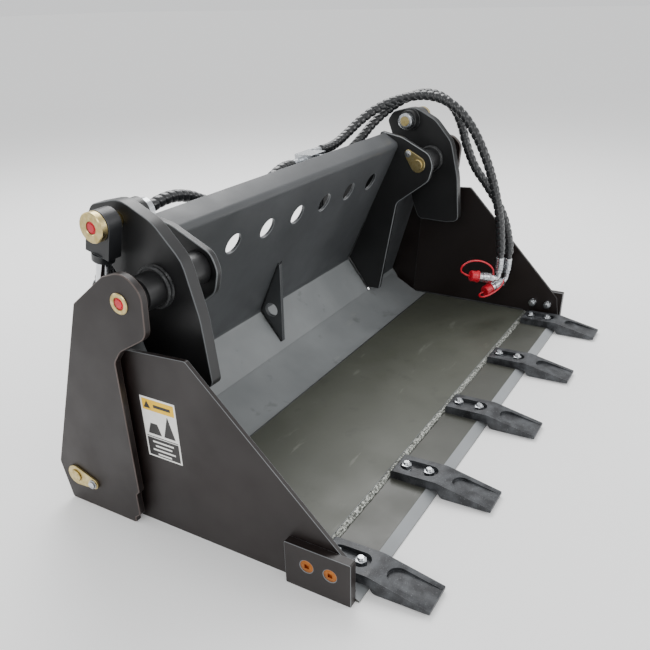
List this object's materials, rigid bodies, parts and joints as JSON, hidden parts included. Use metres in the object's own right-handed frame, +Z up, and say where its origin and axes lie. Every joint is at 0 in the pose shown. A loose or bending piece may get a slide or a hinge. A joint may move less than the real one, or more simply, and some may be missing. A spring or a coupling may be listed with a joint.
{
  "type": "skid steer combination bucket",
  "caption": "Combination bucket for a skid steer loader: rear frame with quick-attach plate and a toothed clam opened by twin hydraulic cylinders.",
  "frame": {"origin": "centre of the footprint on the ground, under the middle of the bucket", "axes": "+X to the bucket's right-hand side (its width), +Y to the rear (towards the loader), +Z up; the teeth point to -Y"},
  "size_m": [1.608, 0.94, 0.7479],
  "materials": {
    "board_paint": "satin charcoal paint",
    "frame_paint": "satin black paint",
    "side_paint": "satin black paint, warm",
    "arm_paint": "satin black paint",
    "floor_paint": "satin paint, scuffed",
    "weld_steel": "painted rough weld",
    "yellow_zinc": "yellow zinc plate",
    "bright_zinc": "bright zinc plate",
    "red_plastic": "moulded",
    "hose_guard": "spiral guard over rubber hose",
    "label_film": null,
    "cast_steel": "cast, dark paint",
    "cylinder_paint": "satin black paint",
    "chrome_rod": "hard chrome"
  },
  "bodies": {
    "rear_frame": {"mouldboard": "board_paint", "inner_ear_left": "frame_paint", "inner_ear_right": "frame_paint", "outer_plate_left": "side_paint", "outer_plate_right": "side_paint", "cylinder_shields": "board_paint", "rear_cutting_edge": "frame_paint", "centre_gusset": "board_paint", "back_ribs": "frame_paint", "attach_plate": "frame_paint", "attach_ledge": "frame_paint", "base_brackets": "frame_paint", "pivot_pins": "yellow_zinc", "base_pins": "yellow_zinc", "pivot_plugs": "red_plastic", "flag_plates": "yellow_zinc", "flag_bolts": "yellow_zinc", "hose_manifold": "bright_zinc", "feed_hose_left": "hose_guard", "feed_hose_right": "hose_guard", "machine_hose_a": "hose_guard", "machine_hose_b": "hose_guard", "hose_end_a": "bright_zinc", "hose_end_b": "bright_zinc", "coupler_a": "bright_zinc", "coupler_b": "bright_zinc", "dust_cap_a": "red_plastic", "dust_cap_b": "red_plastic", "tether_a": "red_plastic", "tether_b": "red_plastic"},
    "clam": {"floor_plate": "floor_paint", "rear_lip": "board_paint", "floor_weld": "weld_steel", "front_cutting_edge": "floor_paint", "side_plate_left": "side_paint", "side_plate_right": "side_paint", "lift_arm_left": "arm_paint", "lift_arm_right": "arm_paint", "arm_bosses": "arm_paint", "arm_webs": "arm_paint", "top_pins": "yellow_zinc", "top_bushes": "bright_zinc", "top_plugs": "red_plastic", "side_cutters": "side_paint", "plow_bolts": "yellow_zinc", "plow_nuts": "bright_zinc", "labels": "label_film", "tooth_1": "cast_steel", "tooth_2": "cast_steel", "tooth_3": "cast_steel", "tooth_4": "cast_steel", "tooth_5": "cast_steel"},
    "barrel_left": {"barrel_left": "cylinder_paint", "gland_left": "cylinder_paint"},
    "rod_left": {"rod_left": "chrome_rod", "rod_eye_left": "cylinder_paint"},
    "barrel_right": {"barrel_right": "cylinder_paint", "gland_right": "cylinder_paint"},
    "rod_right": {"rod_right": "chrome_rod", "rod_eye_right": "cylinder_paint"}
  },
  "joints": [
    {"name": "clam_open", "type": "hinge", "parent": "rear_frame", "child": "clam", "pos_m": [0, 0.143, 0.535], "axis": [-1, 0, 0], "range_deg": [0, 45]},
    {"name": "barrel_swing_left", "type": "hinge", "parent": "rear_frame", "child": "barrel_left", "pos_m": [0, 0.373, 0.077], "axis": [-1, 0, 0], "range_deg": [0, 5]},
    {"name": "rod_slide_left", "type": "slide", "parent": "barrel_left", "child": "rod_left", "axis": [0, 0.2532, -0.9674], "range_m": [0, 0.11]},
    {"name": "barrel_swing_right", "type": "hinge", "parent": "rear_frame", "child": "barrel_right", "pos_m": [0, 0.373, 0.077], "axis": [-1, 0, 0], "range_deg": [0, 5]},
    {"name": "rod_slide_right", "type": "slide", "parent": "barrel_right", "child": "rod_right", "axis": [0, 0.2532, -0.9674], "range_m": [0, 0.11]}
  ],
  "couplings": [
    {"joint": "barrel_swing_left", "follows": "clam_open", "ratio": 0.105},
    {"joint": "rod_slide_left", "follows": "clam_open", "m_per_rad": 0.1255},
    {"joint": "barrel_swing_right", "follows": "clam_open", "ratio": 0.105},
    {"joint": "rod_slide_right", "follows": "clam_open", "m_per_rad": 0.1255}
  ]
}
